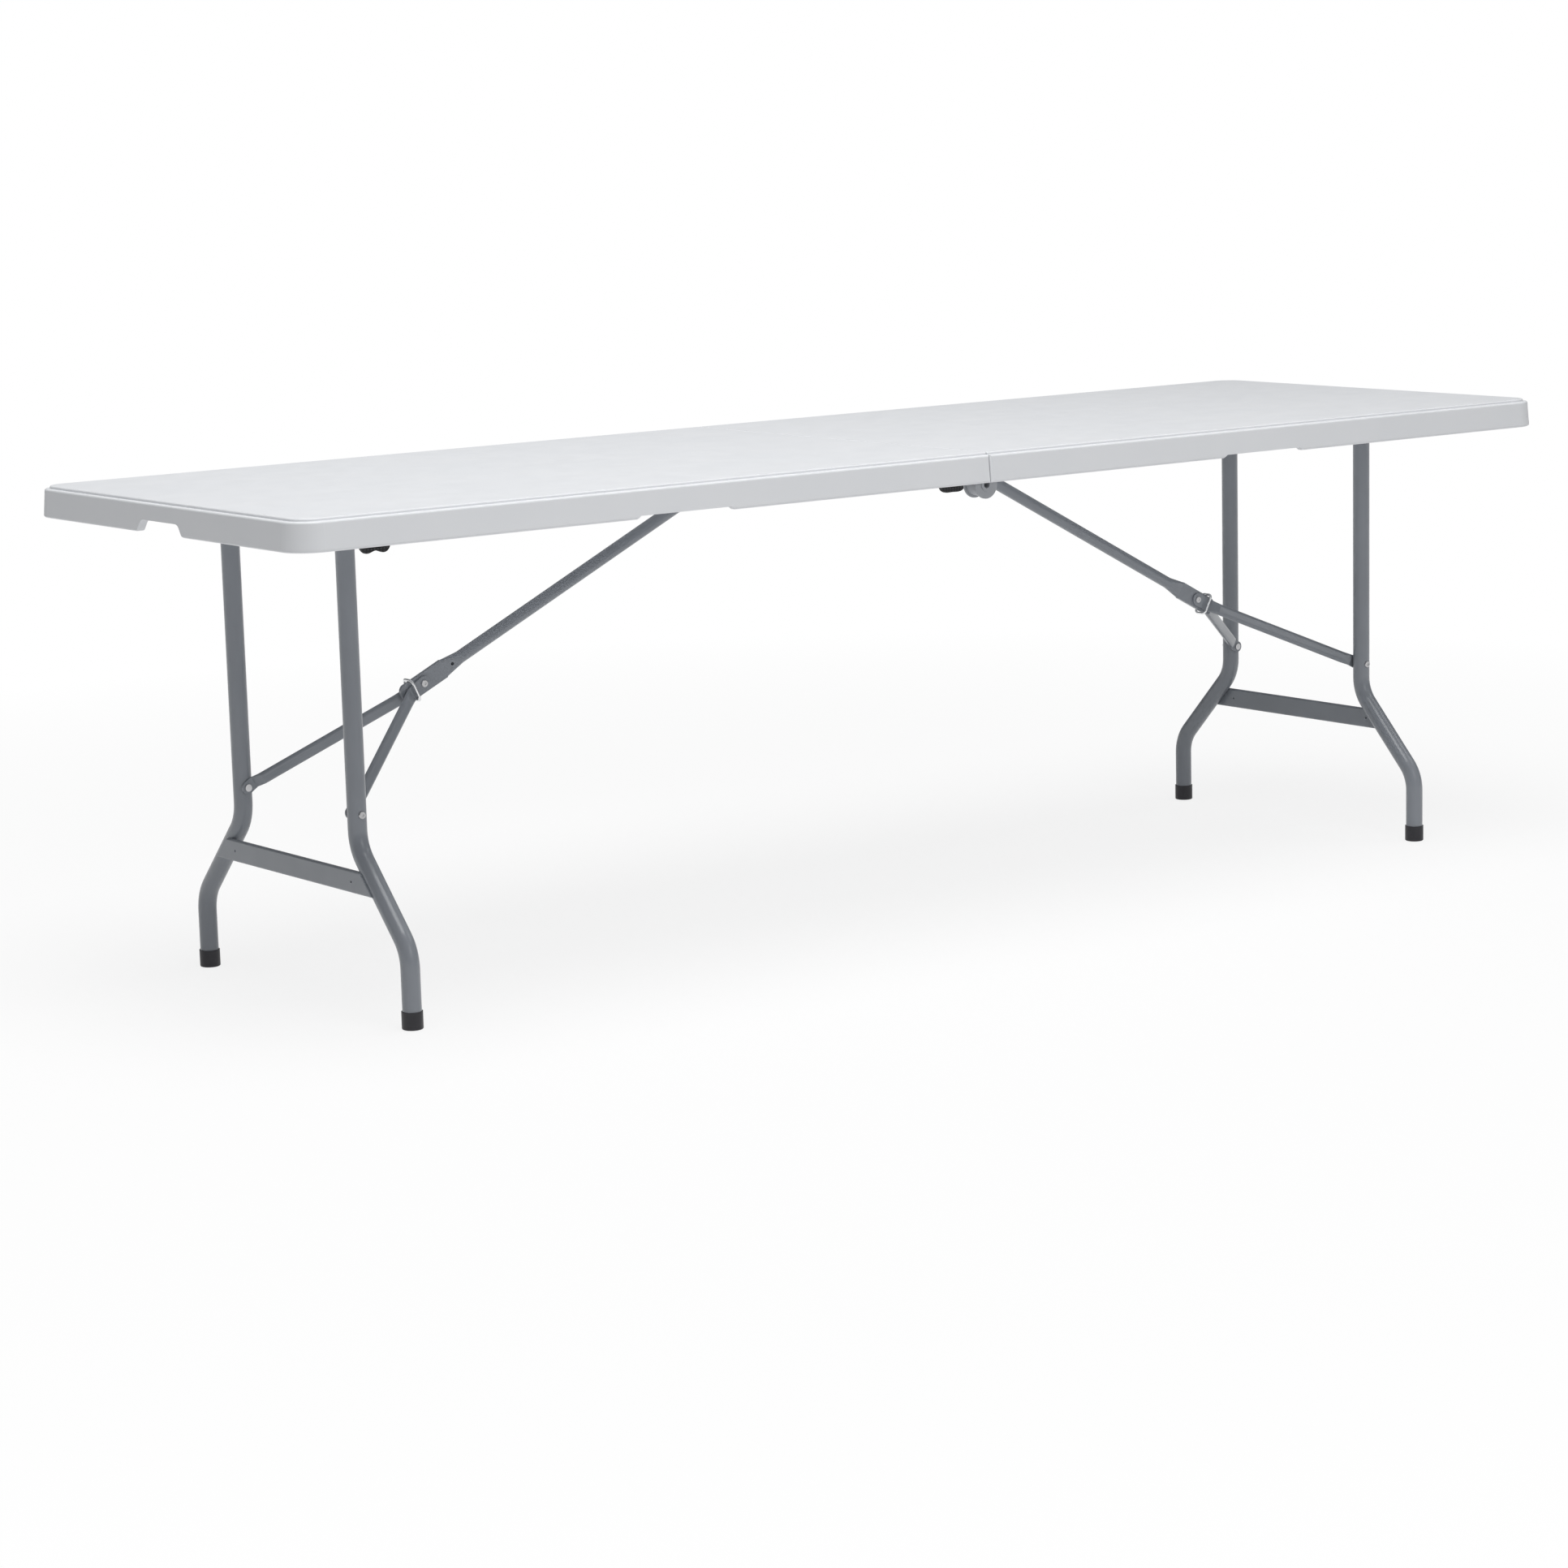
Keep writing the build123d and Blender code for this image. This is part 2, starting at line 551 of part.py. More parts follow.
def brace_arm(name, side, row, points):
    """Lower brace arm: flat plate at the knee, flattened bar, flat eye beside the leg."""
    _, knee, rivet, _, length = points
    high, thick = ARM_BAR
    plate_y = row * (BRACE_FLAT / 2 + ARM_PLAY + ARM_FLAT / 2)
    eye_y = row * (LEG_TOP_Y - LEG_RADIUS - ARM_PLAY - ARM_FLAT / 2)
    end_y = eye_y - row * (thick - ARM_FLAT) / 2
    eye_start = length - ARM_EYE_LENGTH
    rise = (end_y - plate_y) / (eye_start - ARM_PLATE_LENGTH)
    near = ARM_PLATE_LENGTH + ARM_PLATE_TAPER
    near_y = plate_y + rise * ARM_PLATE_TAPER
    far = eye_start - ARM_EYE_TAPER
    far_y = end_y - rise * ARM_EYE_TAPER
    with BuildPart() as arm:
        with BuildSketch(bar_plane(knee, rivet, side, ARM_PLATE_LENGTH, plate_y)):
            flat_section(ARM_PLATE_WIDTH, ARM_FLAT)
        with BuildSketch(bar_plane(knee, rivet, side, near, near_y)):
            flat_section(high, thick)
        with BuildSketch(bar_plane(knee, rivet, side, far, far_y)):
            flat_section(high, thick)
        with BuildSketch(bar_plane(knee, rivet, side, eye_start, eye_y)):
            flat_section(ARM_EYE_WIDTH, ARM_FLAT)
        loft(ruled=True)
        for y, hole_at, start, reach, wide in (
            (plate_y, 0.0, 0.0, ARM_PLATE_LENGTH, ARM_PLATE_WIDTH),
            (eye_y, length, eye_start, ARM_EYE_LENGTH, ARM_EYE_WIDTH),
        ):
            with BuildSketch(face_plane(knee, rivet, side, y + ARM_FLAT / 2)):
                with Locations((hole_at, 0)):
                    Circle(wide / 2)
                with Locations((start + reach / 2, 0)):
                    Rectangle(reach, wide)
                with Locations((hole_at, 0)):
                    Circle(PIN_RADIUS, mode=Mode.SUBTRACT)
            extrude(amount=ARM_FLAT)
    write(arm, name)


def arm_rivets(name, side):
    """Inner ends of the brace rivets: a head and the shank in each arm's eye."""
    outer = LEG_TOP_Y - LEG_RADIUS - ARM_PLAY
    inner = outer - ARM_FLAT
    with BuildPart() as rivets:
        for row in ROWS.values():
            for low, high, radius in (
                (inner, outer, PIN_RADIUS),
                (inner - RIVET_HEAD, inner, RIVET_HEAD_RADIUS),
            ):
                with BuildSketch(across(max(row * low, row * high))):
                    with Locations((side * LEG_X, LEG_RIVET_HEIGHT)):
                        Circle(radius)
                extrude(amount=high - low)
    write(rivets, name)


def headed_pin(name, x, z, half_grip):
    """A rivet along Y with a domed head at each end."""
    with BuildPart() as pin:
        for top, length, radius in (
            (half_grip, 2 * half_grip, PIN_RADIUS),
            (half_grip + RIVET_HEAD, RIVET_HEAD, RIVET_HEAD_RADIUS),
            (-half_grip, RIVET_HEAD, RIVET_HEAD_RADIUS),
        ):
            with BuildSketch(across(top)):
                with Locations((x, z)):
                    Circle(radius)
            extrude(amount=length)
        ends = pin.faces().filter_by(Axis.Y).sort_by(Axis.Y)
        fillet(ends[0].edges() + ends[-1].edges(), RIVET_DOME)
        face = half_grip + RIVET_HEAD
        for top in (face, -face + RIVET_DIMPLE):
            with BuildSketch(across(top)):
                with Locations((x, z)):
                    Circle(RIVET_DIMPLE_RADIUS)
            extrude(amount=RIVET_DIMPLE, mode=Mode.SUBTRACT)
    write(pin, name)


def brace_bracket(name, side):
    """Base plate in the channel with two ears that hold the brace pin."""
    base_z = CHANNEL_TOP - BRACKET_BASE
    ear_thick = BRACKET_EAR[1] - BRACKET_EAR[0]
    with BuildPart() as bracket:
        with BuildSketch(Plane.XY.offset(base_z)):
            with Locations((side * sum(BRACKET_X) / 2, 0)):
                RectangleRounded(BRACKET_X[1] - BRACKET_X[0], 2 * BRACKET_HALF, 4)
            for x in SCREW_X:
                for row in ROWS.values():
                    with Locations((side * x, row * SCREW_Y)):
                        Circle(SCREW_SHANK, mode=Mode.SUBTRACT)
        extrude(amount=BRACKET_BASE)
        for row in ROWS.values():
            with BuildSketch(across(max(row * BRACKET_EAR[0], row * BRACKET_EAR[1]))):
                with Locations((side * BRACE_PIVOT_X, BRACE_PIVOT_HEIGHT)):
                    Circle(BRACKET_EAR_HALF)
                with Locations((side * BRACE_PIVOT_X, (BRACE_PIVOT_HEIGHT + base_z) / 2)):
                    Rectangle(2 * BRACKET_EAR_HALF, base_z - BRACE_PIVOT_HEIGHT)
                with Locations((side * BRACE_PIVOT_X, BRACE_PIVOT_HEIGHT)):
                    Circle(PIN_RADIUS, mode=Mode.SUBTRACT)
            extrude(amount=ear_thick)
    write(bracket, name)


def bracket_screws(name, side):
    """Four pan-head screws that hold the bracket to the top."""
    base_z = CHANNEL_TOP - BRACKET_BASE
    with BuildPart() as screws:
        for radius, reach in ((SCREW_RADIUS, -BRACKET_BASE), (SCREW_SHANK, SCREW_LENGTH)):
            with BuildSketch(Plane.XY.offset(base_z)):
                for x in SCREW_X:
                    for row in ROWS.values():
                        with Locations((side * x, row * SCREW_Y)):
                            Circle(radius)
            extrude(amount=reach)
    write(screws, name)


def lock_ring(name, side, points):
    """Wire ring that slides along the brace and holds the knee straight."""
    pivot, knee, _, length, _ = points
    half_up = RING_INNER[0] + RING_WIRE
    half_y = RING_INNER[1] + RING_WIRE
    plane = bar_plane(pivot, knee, side, length + RING_FROM_KNEE)
    with BuildPart() as ring:
        with BuildSketch(plane, mode=Mode.PRIVATE) as loop:
            RectangleRounded(2 * half_up, 2 * half_y, RING_CORNER)
        route = loop.sketch.faces()[0].outer_wire()
        with BuildSketch(Plane(origin=route @ 0, z_dir=route % 0)):
            Circle(RING_WIRE)
        sweep(path=route)
    write(ring, name)


def handle_tabs(name, side):
    """Ends of the webbing, fixed between the rail and the back rim."""
    with BuildPart() as tabs:
        with BuildSketch(across(HANDLE_Y + STRAP_THICK / 2)):
            for step in (-1, 1):
                centre = side * SIDE_NOTCH_X + step * STRAP_OUT
                with Locations((centre, (TAB_BOTTOM + TAB_TOP) / 2)):
                    Rectangle(STRAP_WIDTH, TAB_TOP - TAB_BOTTOM)
        extrude(amount=STRAP_THICK)
    write(tabs, name)


def handle(name, side, skew):
    """Webbing loop that hangs from the tabs: two straps and a folded grip."""
    centre = side * SIDE_NOTCH_X
    neck_z = HANDLE_TOP - NECK_DROP
    low_x = centre + skew
    neck_shift = NECK_FOLLOWS * skew
    with BuildPart() as loop:
        for step in (-1, 1):
            strap_x = centre + step * STRAP_OUT
            neck_x = centre + step * NECK_OUT + neck_shift
            with BuildSketch(across(HANDLE_Y + STRAP_THICK / 2)):
                with BuildLine():
                    Polyline(
                        (strap_x - STRAP_WIDTH / 2, HANDLE_TOP),
                        (strap_x + STRAP_WIDTH / 2, HANDLE_TOP),
                        (neck_x + NECK_WIDTH / 2, neck_z),
                        (neck_x - NECK_WIDTH / 2, neck_z),
                        close=True,
                    )
                make_face()
            extrude(amount=STRAP_THICK)
            with BuildSketch(Plane.YZ.offset(strap_x - STRAP_WIDTH / 2)):
                with Locations((HANDLE_Y, HANDLE_TOP)):
                    Circle(STRAP_THICK / 2)
            extrude(amount=STRAP_WIDTH)
        left_x = centre - NECK_OUT + neck_shift
        right_x = centre + NECK_OUT + neck_shift
        half = NECK_WIDTH / 2
        inner_half = GRIP_HALF - 0.8 * GRIP_WIDTH
        inner_low = GRIP_LOW + GRIP_WIDTH
        with BuildSketch(across(GRIP_Y[1])):
            with BuildLine():
                FilletPolyline(
                    (left_x - half, neck_z),
                    (low_x - GRIP_HALF, GRIP_LOW),
                    (low_x + GRIP_HALF, GRIP_LOW),
                    (right_x + half, neck_z),
                    radius=GRIP_ROUND,
                )
                Line((right_x + half, neck_z), (right_x - half, neck_z))
                FilletPolyline(
                    (right_x - half, neck_z),
                    (low_x + inner_half, inner_low),
                    (low_x - inner_half, inner_low),
                    (left_x + half, neck_z),
                    radius=GRIP_ROUND / 2,
                )
                Line((left_x + half, neck_z), (left_x - half, neck_z))
            make_face()
        extrude(amount=GRIP_Y[1] - GRIP_Y[0])
    write(loop, name)


for row_name, row in ROWS.items():
    hinge_pin(f"{row_name}_hinge_pin", row)
    hinge_ears(f"left_{row_name}_hinge_ears", row)
    hinge_knuckle(f"right_{row_name}_hinge_knuckle", row)

for side_name, side in SIDES.items():
    points = brace_points(side_name)
    pivot, knee, _, _, _ = points
    top_half(f"{side_name}_top", side)
    rail_plugs(f"{side_name}_rail_plugs", side)
    brace_bracket(f"{side_name}_brace_bracket", side)
    bracket_screws(f"{side_name}_bracket_screws", side)
    headed_pin(f"{side_name}_brace_pin", side * pivot.X, pivot.Z, BRACKET_EAR[1])
    pivot_tube(f"{side_name}_pivot_tube", side)
    leg_rivets(f"{side_name}_leg_rivets", side)
    crossbar(f"{side_name}_leg_crossbar", side)
    upper_brace(f"{side_name}_upper_brace", side, points)
    knee_half = BRACE_FLAT / 2 + ARM_PLAY + ARM_FLAT
    headed_pin(f"{side_name}_knee_rivet", side * knee.X, knee.Z, knee_half)
    arm_rivets(f"{side_name}_arm_rivets", side)
    lock_ring(f"{side_name}_lock_ring", side, points)
    handle_tabs(f"{side_name}_handle_tabs", side)
    handle(f"{side_name}_handle", side, GRIP_SKEW[side_name])
    for row_name, row in ROWS.items():
        rail(f"{side_name}_{row_name}_rail", side, row)
        leg(f"{side_name}_{row_name}_leg", side, row)
        foot(f"{side_name}_{row_name}_foot", side, row)
        brace_arm(f"{side_name}_{row_name}_brace_arm", side, row, points)
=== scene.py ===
"""Folding table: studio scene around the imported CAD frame. Metres, +Z up."""
import json
from math import copysign, cos, pi, radians, sin

import bpy
from mathutils import Matrix, Vector


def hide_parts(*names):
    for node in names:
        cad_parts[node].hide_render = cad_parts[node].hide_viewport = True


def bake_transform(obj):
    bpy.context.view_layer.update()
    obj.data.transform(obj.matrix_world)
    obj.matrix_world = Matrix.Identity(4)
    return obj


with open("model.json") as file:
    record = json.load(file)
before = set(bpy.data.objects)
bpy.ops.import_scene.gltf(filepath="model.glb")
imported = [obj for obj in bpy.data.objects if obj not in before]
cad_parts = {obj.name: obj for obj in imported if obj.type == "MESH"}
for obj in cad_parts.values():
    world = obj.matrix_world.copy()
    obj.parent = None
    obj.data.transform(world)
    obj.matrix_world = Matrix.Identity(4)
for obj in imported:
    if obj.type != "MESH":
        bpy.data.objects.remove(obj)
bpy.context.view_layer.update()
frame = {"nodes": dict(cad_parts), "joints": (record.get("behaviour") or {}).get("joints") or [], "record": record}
scene = bpy.context.scene

WHITE = (1.0, 1.0, 1.0, 1.0)

# Camera, fitted to the photograph; angles in degrees, lens and sensor in millimetres

CAMERA_PLACE = (-3.9776, -5.0981, 1.3132)
CAMERA_YAW = 37.37
CAMERA_PITCH = 10.42
CAMERA_ROLL = -1.47
CAMERA_LENS = 93.59
CAMERA_SENSOR = 36.0
CAMERA_SHIFT = (-0.01247, 0.0261)
CAMERA_REACH = 100.0


def add_camera():
    data = bpy.data.cameras.new("camera")
    data.lens = CAMERA_LENS
    data.sensor_width = CAMERA_SENSOR
    data.shift_x, data.shift_y = CAMERA_SHIFT
    data.clip_end = CAMERA_REACH
    camera = bpy.data.objects.new("camera", data)
    turn = Matrix.Rotation(radians(-CAMERA_YAW), 4, "Z")
    tilt = Matrix.Rotation(radians(90.0 - CAMERA_PITCH), 4, "X")
    roll = Matrix.Rotation(radians(CAMERA_ROLL), 4, "Z")
    camera.matrix_world = Matrix.Translation(CAMERA_PLACE) @ turn @ tilt @ roll
    scene.collection.objects.link(camera)
    scene.camera = camera


# Shader nodes that several materials use


def noise(tree, place, scale, detail):
    node = tree.nodes.new("ShaderNodeTexNoise")
    node.inputs["Scale"].default_value = scale
    node.inputs["Detail"].default_value = detail
    tree.links.new(place, node.inputs["Vector"])
    return node.outputs["Fac"]


def ramp(tree, factor, low, high, span):
    """Colour from low to high as factor goes from the start to the end of span."""
    node = tree.nodes.new("ShaderNodeValToRGB")
    for element, position, colour in zip(node.color_ramp.elements, span, (low, high)):
        element.position = position
        element.color = (*colour, 1.0)
    tree.links.new(factor, node.inputs["Fac"])
    return node.outputs["Color"]


def bump(tree, shader, height, strength, depth):
    node = tree.nodes.new("ShaderNodeBump")
    node.inputs["Strength"].default_value = strength
    node.inputs["Distance"].default_value = depth
    tree.links.new(height, node.inputs["Height"])
    tree.links.new(node.outputs["Normal"], shader.inputs["Normal"])


def maths(tree, operation, first, second):
    node = tree.nodes.new("ShaderNodeMath")
    node.operation = operation
    tree.links.new(first, node.inputs[0])
    tree.links.new(second, node.inputs[1])
    return node.outputs["Value"]


def mix_shaders(tree, factor, first, second):
    """The first shader where factor is 0 and the second where it is 1."""
    node = tree.nodes.new("ShaderNodeMixShader")
    tree.links.new(factor, node.inputs[0])
    tree.links.new(first, node.inputs[1])
    tree.links.new(second, node.inputs[2])
    return node.outputs["Shader"]


def cleared_tree(owner):
    """The node tree of a new material or world, with nothing in it."""
    owner.use_nodes = True
    owner.node_tree.nodes.clear()
    return owner.node_tree


def new_material(name):
    """A material with its node tree, its Principled shader and its object coordinates."""
    material = bpy.data.materials.new(name)
    material.use_nodes = True
    tree = material.node_tree
    shader = tree.nodes["Principled BSDF"]
    coordinates = tree.nodes.new("ShaderNodeTexCoord")
    return material, tree, shader, coordinates.outputs["Object"]


# Finishes of the solid pieces. Soft patches go from the low to the high colour, smaller ones from the
# lesser to the greater roughness. Patch and grain are noise scales, and depth is the grain's, in metres.

PAINT_GRAIN = {"grain": 420.0, "strength": 0.03, "depth": 0.0002}
METAL_GRAIN = {"grain": 700.0, "strength": 0.04, "depth": 0.0003, "metallic": 1.0, "patch": 40.0}
FINISHES = {
    "moulded_top": {
        "low": (0.812, 0.826, 0.849),
        "high": (0.826, 0.837, 0.858),
        "roughness": (0.43, 0.48),
        "specular": 0.34,
        "grain": 620.0,
        "strength": 0.10,
        "depth": 0.0006,
    },
    "grey_steel": {
        "low": (0.250, 0.268, 0.297),
        "high": (0.273, 0.292, 0.323),
        "roughness": (0.36, 0.44),
        "specular": 0.30,
        "coat": 0.55,
        **PAINT_GRAIN,
    },
    "hinge_steel": {
        "low": (0.39, 0.405, 0.43),
        "high": (0.43, 0.445, 0.47),
        "roughness": (0.34, 0.42),
        **PAINT_GRAIN,
    },
    "bright_steel": {
        "low": (0.50, 0.50, 0.51),
        "high": (0.60, 0.60, 0.61),
        "roughness": (0.26, 0.36),
        **METAL_GRAIN,
    },
    "ring_wire": {
        "low": (0.78, 0.79, 0.80),
        "high": (0.86, 0.865, 0.875),
        "roughness": (0.22, 0.30),
        **METAL_GRAIN,
    },
    "black_plastic": {
        "low": (0.022, 0.021, 0.026),
        "high": (0.031, 0.030, 0.036),
        "roughness": (0.38, 0.48),
        "grain": 500.0,
        "strength": 0.08,
        "depth": 0.0004,
    },
}
PATCH_SPAN = (0.35, 0.65)
PATCH_DETAIL = 3.0
GLOSS_PER_PATCH = 3.0
GRAIN_DETAIL = 2.0
COAT_ROUGHNESS = 0.15


def grey(value):
    return (value, value, value)


def grained(
    name, low, high, roughness, grain, strength, depth, metallic=0.0, patch=9.0, specular=0.45, coat=0.0
):
    """A finish with soft colour patches, uneven gloss, a fine grain and, on paint, a clear coat."""
    material, tree, shader, place = new_material(name)
    patches = noise(tree, place, patch, PATCH_DETAIL)
    colour = ramp(tree, patches, low, high, PATCH_SPAN)
    tree.links.new(colour, shader.inputs["Base Color"])
    gloss_patches = noise(tree, place, GLOSS_PER_PATCH * patch, PATCH_DETAIL)
    gloss = ramp(tree, gloss_patches, grey(roughness[0]), grey(roughness[1]), PATCH_SPAN)
    tree.links.new(gloss, shader.inputs["Roughness"])
    shader.inputs["Metallic"].default_value = metallic
    shader.inputs["Specular IOR Level"].default_value = specular
    shader.inputs["Coat Weight"].default_value = coat
    shader.inputs["Coat Roughness"].default_value = COAT_ROUGHNESS
    bump(tree, shader, noise(tree, place, grain, GRAIN_DETAIL), strength, depth)
    return material


# Finish of the black straps

WEAVE_SCALES = {"X": 330.0 / (2.0 * pi), "Z": 420.0 / (2.0 * pi)}
WEAVE_DISTORTION = 0.4
WEAVE_SPAN = (0.0, 1.0)
WEAVE_STRENGTH = 0.5
WEAVE_DEPTH = 0.0004
WEBBING_LOW = (0.028, 0.028, 0.030)
WEBBING_HIGH = (0.085, 0.085, 0.089)
WEBBING_ROUGHNESS = 0.78


def webbing_material():
    """Black woven strap: fine ribs across and along."""
    material, tree, shader, place = new_material("webbing")
    ribs = []
    for direction, scale in WEAVE_SCALES.items():
        wave = tree.nodes.new("ShaderNodeTexWave")
        wave.bands_direction = direction
        wave.inputs["Scale"].default_value = scale
        wave.inputs["Distortion"].default_value = WEAVE_DISTORTION
        tree.links.new(place, wave.inputs["Vector"])
        ribs.append(wave.outputs["Fac"])
    weave = maths(tree, "MULTIPLY", *ribs)
    colour = ramp(tree, weave, WEBBING_LOW, WEBBING_HIGH, WEAVE_SPAN)
    tree.links.new(colour, shader.inputs["Base Color"])
    shader.inputs["Roughness"].default_value = WEBBING_ROUGHNESS
    bump(tree, shader, weave, WEAVE_STRENGTH, WEAVE_DEPTH)
    return material


def make_materials():
    materials = {name: grained(name, **finish) for name, finish in FINISHES.items()}
    materials["webbing"] = webbing_material()
    return materials


def paint_nodes(materials):
    """Each CAD node takes the finish of its slot in the record, and the lock rings a brighter wire."""
    for entry in frame["record"]["subparts"]:
        node = entry["node"]
        finish = "ring_wire" if node.endswith("lock_ring") else entry["material_slot"]
        mesh = frame["nodes"][node].data
        mesh.materials.clear()
        mesh.materials.append(materials[finish])


# Floor

FLOOR_HALF = 30.0
FLOOR_DROP = 0.0005
FLOOR_COLOUR = (0.92, 0.92, 0.92, 1.0)
FLOOR_FADE = (1.2, 3.2)
FLOOR_WHITE = (0.84, 1.0)


def floor_share(tree):
    """How far the floor is plain white: less near the object, so that its shadow shows."""
    place = tree.nodes.new("ShaderNodeTexCoord")
    reach = tree.nodes.new("ShaderNodeVectorMath")
    reach.operation = "LENGTH"
    tree.links.new(place.outputs["Object"], reach.inputs[0])
    fade = tree.nodes.new("ShaderNodeMapRange")
    for name, value in zip(("From Min", "From Max", "To Min", "To Max"), FLOOR_FADE + FLOOR_WHITE):
        fade.inputs[name].default_value = value
    tree.links.new(reach.outputs["Value"], fade.inputs["Value"])
    return fade.outputs["Result"]


def seen_directly(tree, share):
    """share where a camera or glossy ray arrives, and 0 for the light that reaches the object."""
    path = tree.nodes.new("ShaderNodeLightPath")
    either = maths(tree, "MAXIMUM", path.outputs["Is Camera Ray"], path.outputs["Is Glossy Ray"])
    return maths(tree, "MULTIPLY", either, share)


def floor_material():
    """Matt from above, plain white where it is seen directly, and clear from below."""
    material = bpy.data.materials.new("floor")
    tree = cleared_tree(material)
    matt = tree.nodes.new("ShaderNodeBsdfDiffuse")
    matt.inputs["Color"].default_value = FLOOR_COLOUR
    glow = tree.nodes.new("ShaderNodeEmission")
    glow.inputs["Color"].default_value = WHITE
    clear = tree.nodes.new("ShaderNodeBsdfTransparent")
    side_seen = tree.nodes.new("ShaderNodeNewGeometry")
    share = seen_directly(tree, floor_share(tree))
    above = mix_shaders(tree, share, matt.outputs["BSDF"], glow.outputs["Emission"])
    one_sided = mix_shaders(tree, side_seen.outputs["Backfacing"], above, clear.outputs["BSDF"])
    output = tree.nodes.new("ShaderNodeOutputMaterial")
    tree.links.new(one_sided, output.inputs["Surface"])
    return material


def add_floor():
    """A floor that hides nothing from below, so that the underside can be seen."""
    mesh = bpy.data.meshes.new("floor")
    signs = ((-1, -1), (1, -1), (1, 1), (-1, 1))
    corners = [(x * FLOOR_HALF, y * FLOOR_HALF, 0.0) for x, y in signs]
    mesh.from_pydata(corners, [], [(0, 1, 2, 3)])
    mesh.materials.append(floor_material())
    floor = bpy.data.objects.new("floor", mesh)
    floor.location.z = -FLOOR_DROP
    scene.collection.objects.link(floor)


# Light: an even world, a broad lamp above the left half, and two weaker ones in front and at the right

WORLD_COLOUR = (0.97, 0.985, 1.0, 1.0)
WORLD_LIGHT = 0.20
LAMP_TARGET = (0.0, 0.0, 0.6)
LAMPS = {
    "key": {"place": (-0.95, -0.8, 4.9), "size": 3.8, "watts": 187.0},
    "front": {"place": (-0.6, -6.2, 3.3), "size": 3.0, "watts": 44.0},
    "fill": {"place": (3.2, -2.0, 4.0), "size": 2.2, "watts": 22.0},
}


def background(tree, colour, strength):
    node = tree.nodes.new("ShaderNodeBackground")
    node.inputs["Color"].default_value = colour
    node.inputs["Strength"].default_value = strength
    return node.outputs["Background"]


def add_world():
    """A soft even light, which the camera sees as plain white."""
    world = bpy.data.worlds.new("studio")
    scene.world = world
    tree = cleared_tree(world)
    soft = background(tree, WORLD_COLOUR, WORLD_LIGHT)
    white = background(tree, WHITE, 1.0)
    path = tree.nodes.new("ShaderNodeLightPath")
    seen = mix_shaders(tree, path.outputs["Is Camera Ray"], soft, white)
    output = tree.nodes.new("ShaderNodeOutputWorld")
    tree.links.new(seen, output.inputs["Surface"])


def add_lamp(name, place, size, watts):
    """A round soft lamp, aimed at the middle of the table."""
    data = bpy.data.lights.new(name, "AREA")
    data.shape = "DISK"
    data.size = size
    data.energy = watts
    lamp = bpy.data.objects.new(name, data)
    lamp.location = place
    aim = Vector(LAMP_TARGET) - Vector(place)
    lamp.rotation_euler = aim.to_track_quat("-Z", "Y").to_euler()
    scene.collection.objects.link(lamp)


# Webbing handles: one strap per half, from the tabs behind the rim round the hanging grip. Rises, drops
# and the grip's place towards the back are measured from the axis that the handle swings about.

STRAP_OUT = 0.058
STRAP_WIDTH = 0.030
STRAP_THICK = 0.0018
TAB_RISE = 0.0255

# The neck, where the strap turns from flat to rolled: how far it is rolled at each share of its drop
NECK_OUT = 0.034
NECK_DROP = 0.062
NECK_FOLLOWS = 0.8
NECK_ROLL = {0.35: 0.12, 0.7: 0.5, 1.0: 0.92}

# The grip: its rise at each share of its half length, and how far its middle is pinched and skewed
GRIP_HALF = 0.0205
GRIP_DROP = 0.1025
GRIP_RISE = {0.0: 0.0, 0.7: 0.0, 0.98: 0.0035, 1.12: 0.012}
GRIP_WIDTH = 0.0135
GRIP_THICK = 0.0105
GRIP_BACK = 0.0036
GRIP_PINCH = {"left": 0.4, "right": 1.0}
GRIP_SKEW = {"left": -0.064, "right": -0.027}

SECTION_POINTS = 20
SECTION_POWER = 0.5
SAMPLES_PER_SPAN = 7


def swing_place(side):
    """The middle of the axis that the handle swings about."""
    swing = next(joint for joint in frame["joints"] if joint["name"] == f"{side}_handle_swing")
    return swing["pos_m"]


def strap_stations(side):
    """(x, z, width, thickness, y) along the strap, from one tab to the other."""
    centre, hinge_y, hinge_z = swing_place(side)
    skew = GRIP_SKEW[side]
    flat = (STRAP_WIDTH, STRAP_THICK, hinge_y)
    rolled = (GRIP_WIDTH, GRIP_THICK, hinge_y + GRIP_BACK)
    halves = []
    for step in (-1, 1):
        top_x = centre + step * STRAP_OUT
        neck_x = centre + NECK_FOLLOWS * skew + step * NECK_OUT
        run = [(top_x, hinge_z + rise, *flat) for rise in (TAB_RISE, 0.5 * TAB_RISE, 0.0)]
        for share, roll in NECK_ROLL.items():
            x = top_x + (neck_x - top_x) * share
            z = hinge_z - NECK_DROP * share
            run.append((x, z, *[a + (b - a) * roll for a, b in zip(flat, rolled)]))
        halves.append(run)
    grip = []
    for share in sorted({step * share for share in GRIP_RISE for step in (-1, 1)}):
        x = centre + skew + share * GRIP_HALF
        z = hinge_z - GRIP_DROP + GRIP_RISE[abs(share)]
        width = GRIP_WIDTH * (GRIP_PINCH[side] if share == 0 else 1.0)
        grip.append((x, z, width, *rolled[1:]))
    return halves[0] + grip + halves[1][::-1]


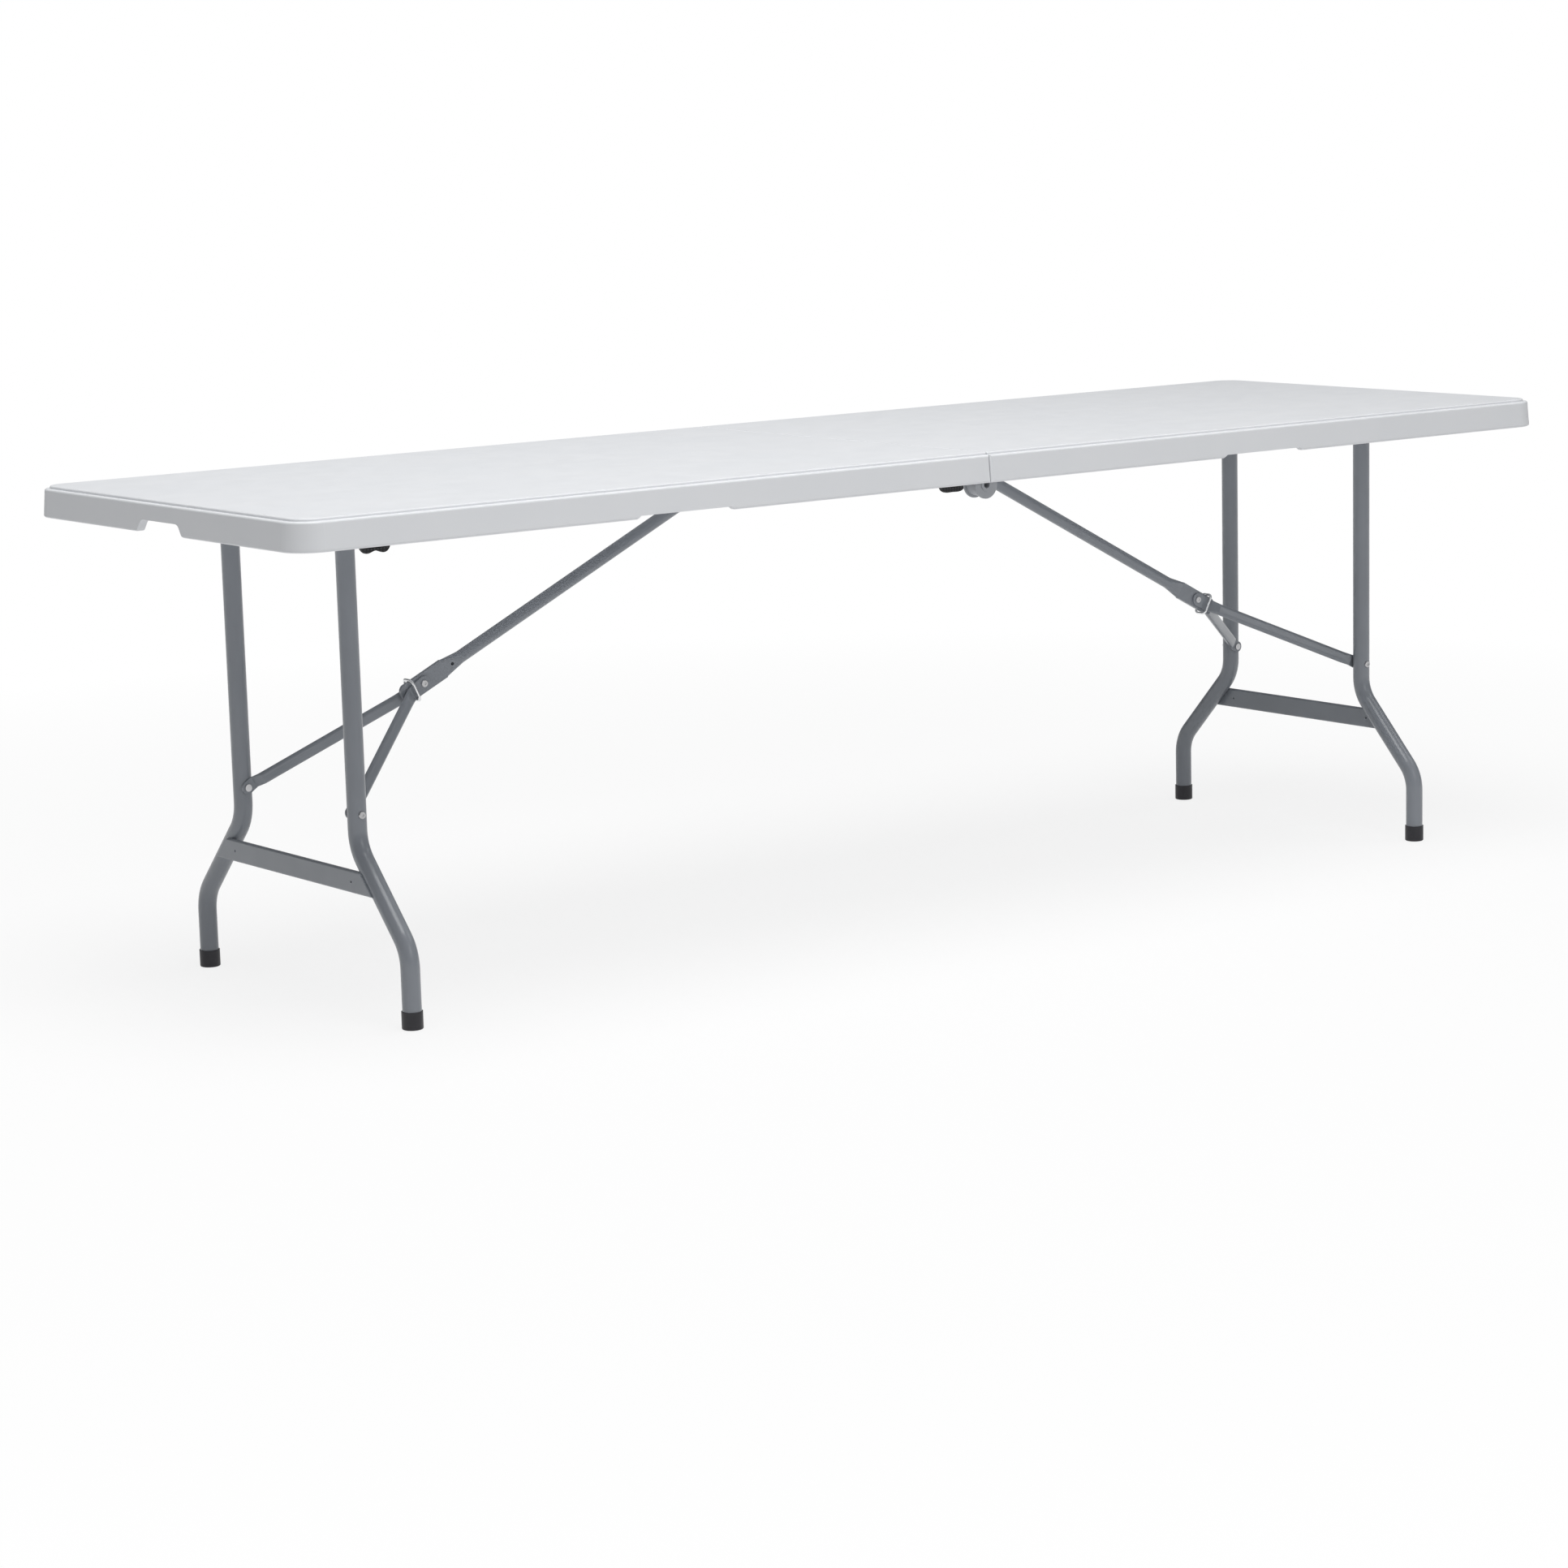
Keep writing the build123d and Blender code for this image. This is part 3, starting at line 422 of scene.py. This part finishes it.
def smooth_run(stations):
    """Points of a smooth curve through the stations."""
    rows = [Vector(station) for station in stations]
    rows = [2 * rows[0] - rows[1]] + rows + [2 * rows[-1] - rows[-2]]
    points = []
    for a, b, c, d in zip(rows, rows[1:], rows[2:], rows[3:]):
        for i in range(SAMPLES_PER_SPAN):
            t = i / SAMPLES_PER_SPAN
            linear = (c - a) * t
            square = (2 * a - 5 * b + 4 * c - d) * t**2
            cube = (3 * b - a - 3 * c + d) * t**3
            points.append(0.5 * (2 * b + linear + square + cube))
    points.append(rows[-2])
    return points


def soft_square(angle):
    """A point of a rounded square of half-width 1."""
    return [copysign(abs(part) ** SECTION_POWER, part) for part in (cos(angle), sin(angle))]


def strap_mesh(name, run):
    """A closed band along the run, with a rounded section as wide and thick as each point says."""
    vertices = []
    for i, (x, z, width, thick, y) in enumerate(run):
        ahead = run[min(i + 1, len(run) - 1)]
        behind = run[max(i - 1, 0)]
        along = Vector((ahead[0] - behind[0], ahead[1] - behind[1])).normalized()
        for k in range(SECTION_POINTS):
            u, v = soft_square(2 * pi * (k + 0.5) / SECTION_POINTS)
            offset = 0.5 * width * u
            vertices.append((x - along.y * offset, y + 0.5 * thick * v, z + along.x * offset))
    faces = []
    last = len(vertices) - SECTION_POINTS
    for first in range(0, last, SECTION_POINTS):
        for k in range(SECTION_POINTS):
            a = first + k
            b = first + (k + 1) % SECTION_POINTS
            faces.append((a, a + SECTION_POINTS, b + SECTION_POINTS, b))
    faces.append(tuple(range(SECTION_POINTS)))
    faces.append(tuple(reversed(range(last, len(vertices)))))
    mesh = bpy.data.meshes.new(name)
    mesh.from_pydata(vertices, [], faces)
    for polygon in mesh.polygons:
        polygon.use_smooth = True
    return mesh


def add_handle(side, material):
    """One strap, bent across the handle's joint, in place of the plain handle and its tabs."""
    name = f"{side}_strap"
    mesh = strap_mesh(name, smooth_run(strap_stations(side)))
    mesh.materials.append(material)
    strap = bpy.data.objects.new(name, mesh)
    scene.collection.objects.link(strap)
    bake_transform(strap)
    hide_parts(f"{side}_handle", f"{side}_handle_tabs")


add_camera()
materials = make_materials()
paint_nodes(materials)
add_floor()
add_world()
for name, lamp in LAMPS.items():
    add_lamp(name, **lamp)
for side in ("left", "right"):
    add_handle(side, materials["webbing"])
scene.view_settings.view_transform = "Standard"
